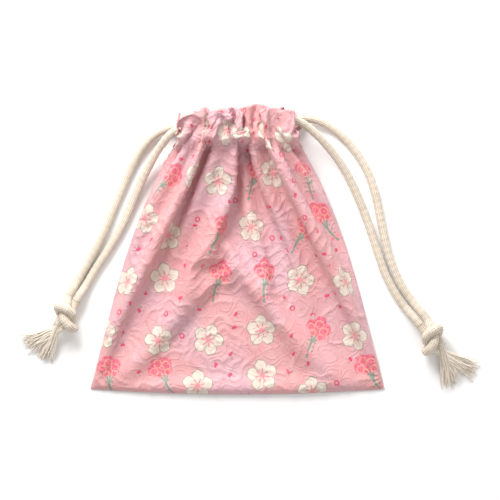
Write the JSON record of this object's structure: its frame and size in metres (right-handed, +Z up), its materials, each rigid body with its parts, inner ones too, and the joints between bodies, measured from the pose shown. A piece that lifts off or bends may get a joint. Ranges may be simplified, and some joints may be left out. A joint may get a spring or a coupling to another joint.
{
  "type": "drawstring pouch",
  "caption": "Small gathered cloth pouch drawn shut by two cords, one out of each side of its casings, each ending in an overhand knot with frayed ends.",
  "frame": {"origin": "on the surface that the pouch lies on, under the middle of the cloth body's box, cords not counted", "axes": "+X across the pouch towards its right side, +Y from the bottom seam to the mouth, +Z up through the thickness, front panel uppermost"},
  "size_m": [0.2474, 0.155, 0.0249],
  "materials": {
    "printed_cloth": "quilted cotton print with a soft sheen, salmon to lilac pink ground with small blossoms",
    "cotton_cord": "matt undyed braided cotton cord"
  },
  "bodies": {
    "root": {"front_panel": "printed_cloth", "back_panel": "printed_cloth", "left_cord": "cotton_cord", "right_cord": "cotton_cord", "left_knot": "cotton_cord", "right_knot": "cotton_cord", "left_frayed_end_a": "cotton_cord", "left_frayed_end_b": "cotton_cord", "right_frayed_end_a": "cotton_cord", "right_frayed_end_b": "cotton_cord"}
  },
  "joints": []
}
